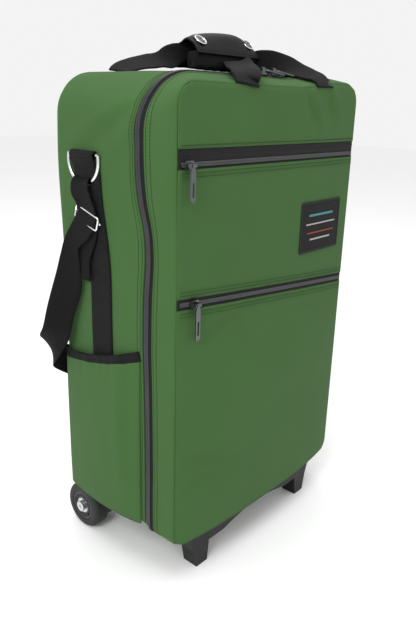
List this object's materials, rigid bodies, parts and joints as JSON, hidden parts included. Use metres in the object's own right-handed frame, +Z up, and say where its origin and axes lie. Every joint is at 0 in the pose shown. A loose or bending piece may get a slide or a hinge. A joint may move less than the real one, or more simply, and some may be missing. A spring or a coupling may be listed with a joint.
{
  "type": "softside upright suitcase",
  "caption": "Cloth upright suitcase with a zipped fold-down front cover, two front pockets, an open side pocket, carry handles, a shoulder strap, a pull handle and two wheels.",
  "frame": {"origin": "on the ground, under the middle of the case's box", "axes": "+X to the case's right seen from the front, +Y to its back, +Z up; the front cover faces -Y"},
  "size_m": [0.4504, 0.2423, 0.676],
  "materials": {
    "cloth": "coated pack cloth, fine square weave, slight sheen",
    "stiffener": "plain polyethylene sheet",
    "lining": "thin plain lining cloth",
    "label": "woven patch with an overlocked edge",
    "black_plastic": "moulded, fine texture",
    "button_plastic": "polished moulding",
    "steel": "zinc plated",
    "tube": "satin anodised",
    "zipper": "woven tape with a nylon coil",
    "webbing": "ribbed polypropylene webbing",
    "grip": "padded vinyl, part textured",
    "chrome": "nickel plated",
    "wheel": "hard urethane tread",
    "slider": "gunmetal die casting"
  },
  "bodies": {
    "case": {"main_shell": "cloth", "frame_hoop": "stiffener", "lining": "lining", "back_board": "stiffener", "front_stand": "black_plastic", "wheel_housing_left": "black_plastic", "wheel_housing_right": "black_plastic", "axle_left": "steel", "axle_right": "steel", "base_screws": "steel", "outer_tube_left": "tube", "outer_tube_right": "tube", "tube_bracket": "black_plastic", "handle_bezel": "black_plastic", "zipper_rear": "zipper", "side_pocket": "cloth", "pocket_binding": "webbing", "side_webbing_left": "webbing", "side_webbing_right": "webbing", "shoulder_strap": "webbing", "rear_handle": "webbing", "grip_back": "grip"},
    "wheel_left": {"tyre_left": "wheel", "hub_left": "black_plastic", "bearings_left": "steel"},
    "wheel_right": {"tyre_right": "wheel", "hub_right": "black_plastic", "bearings_right": "steel"},
    "pull_handle": {"inner_tube_left": "tube", "inner_tube_right": "tube", "lock_plugs": "black_plastic", "pull_grip": "black_plastic"},
    "handle_button": {"release_button": "button_plastic", "push_rods": "steel"},
    "front_cover": {"cover_shell": "cloth", "upper_pocket": "cloth", "lower_pocket": "cloth", "label_patch": "label", "upper_zipper": "zipper", "lower_zipper": "zipper", "zipper_front": "zipper", "front_handle": "webbing", "grip_sleeve": "grip"},
    "flap": {"grip_flap": "grip", "snap_caps": "chrome"},
    "upper_slider": {"upper_slider": "slider"},
    "upper_pull": {"upper_pull": "slider"},
    "lower_slider": {"lower_slider": "slider"},
    "lower_pull": {"lower_pull": "slider"},
    "main_slider_1": {"main_slider_1": "slider"},
    "main_pull_1": {"main_pull_1": "slider"},
    "main_slider_2": {"main_slider_2": "slider"},
    "main_pull_2": {"main_pull_2": "slider"},
    "ring_left": {"d_ring_left": "chrome", "strap_end_left": "webbing", "tri_glide_left": "chrome"},
    "ring_right": {"d_ring_right": "chrome", "strap_end_right": "webbing", "tri_glide_right": "chrome"}
  },
  "joints": [
    {"name": "wheel_left_spin", "type": "hinge", "parent": "case", "child": "wheel_left", "pos_m": [-0.165, 0.08, 0.0335], "axis": [1, 0, 0], "continuous": true},
    {"name": "wheel_right_spin", "type": "hinge", "parent": "case", "child": "wheel_right", "pos_m": [0.165, 0.08, 0.0335], "axis": [1, 0, 0], "continuous": true},
    {"name": "pull_handle_slide", "type": "slide", "parent": "case", "child": "pull_handle", "axis": [0, 0, 1], "range_m": [0, 0.42]},
    {"name": "handle_button_press", "type": "slide", "parent": "pull_handle", "child": "handle_button", "axis": [0, 0, -1], "range_m": [0, 0.0035], "stiffness_N_per_m": 600},
    {"name": "front_cover_fold", "type": "hinge", "parent": "case", "child": "front_cover", "pos_m": [0, -0.107, 0.062], "axis": [1, 0, 0], "range_deg": [0, 90]},
    {"name": "grip_flap_lift", "type": "hinge", "parent": "case", "child": "flap", "pos_m": [0, 0.021, 0.676], "axis": [-1, 0, 0], "range_deg": [0, 150]},
    {"name": "upper_slider_slide", "type": "slide", "parent": "front_cover", "child": "upper_slider", "axis": [1, 0, 0], "range_m": [0, 0.325]},
    {"name": "upper_pull_lift", "type": "hinge", "parent": "upper_slider", "child": "upper_pull", "pos_m": [-0.164, -0.1174, 0.5355], "axis": [-1, 0, 0], "range_deg": [0, 150]},
    {"name": "lower_slider_slide", "type": "slide", "parent": "front_cover", "child": "lower_slider", "axis": [0.9962, 0, -0.0873], "range_m": [0, 0.3]},
    {"name": "lower_pull_lift", "type": "hinge", "parent": "lower_slider", "child": "lower_pull", "pos_m": [-0.152, -0.1174, 0.38157], "axis": [-1, 0, 0], "range_deg": [0, 150]},
    {"name": "main_slider_1_slide", "type": "slide", "parent": "case", "child": "main_slider_1", "axis": [-1, 0, 0], "range_m": [0, 0.055]},
    {"name": "main_pull_1_lift", "type": "hinge", "parent": "main_slider_1", "child": "main_pull_1", "pos_m": [0.018, -0.062, 0.6392], "axis": [-0.5, -0.866, 0], "range_deg": [0, 150]},
    {"name": "main_slider_2_slide", "type": "slide", "parent": "case", "child": "main_slider_2", "axis": [1, 0, 0], "range_m": [0, 0.005]},
    {"name": "main_pull_2_lift", "type": "hinge", "parent": "main_slider_2", "child": "main_pull_2", "pos_m": [0.04, -0.062, 0.6392], "axis": [-0.5, -0.866, 0], "range_deg": [0, 150]},
    {"name": "ring_left_swing", "type": "hinge", "parent": "case", "child": "ring_left", "pos_m": [-0.1856, 0.038, 0.537], "axis": [0, 1, 0], "range_deg": [0, 75]},
    {"name": "ring_right_swing", "type": "hinge", "parent": "case", "child": "ring_right", "pos_m": [0.1856, 0.038, 0.537], "axis": [0, -1, 0], "range_deg": [0, 75]}
  ]
}
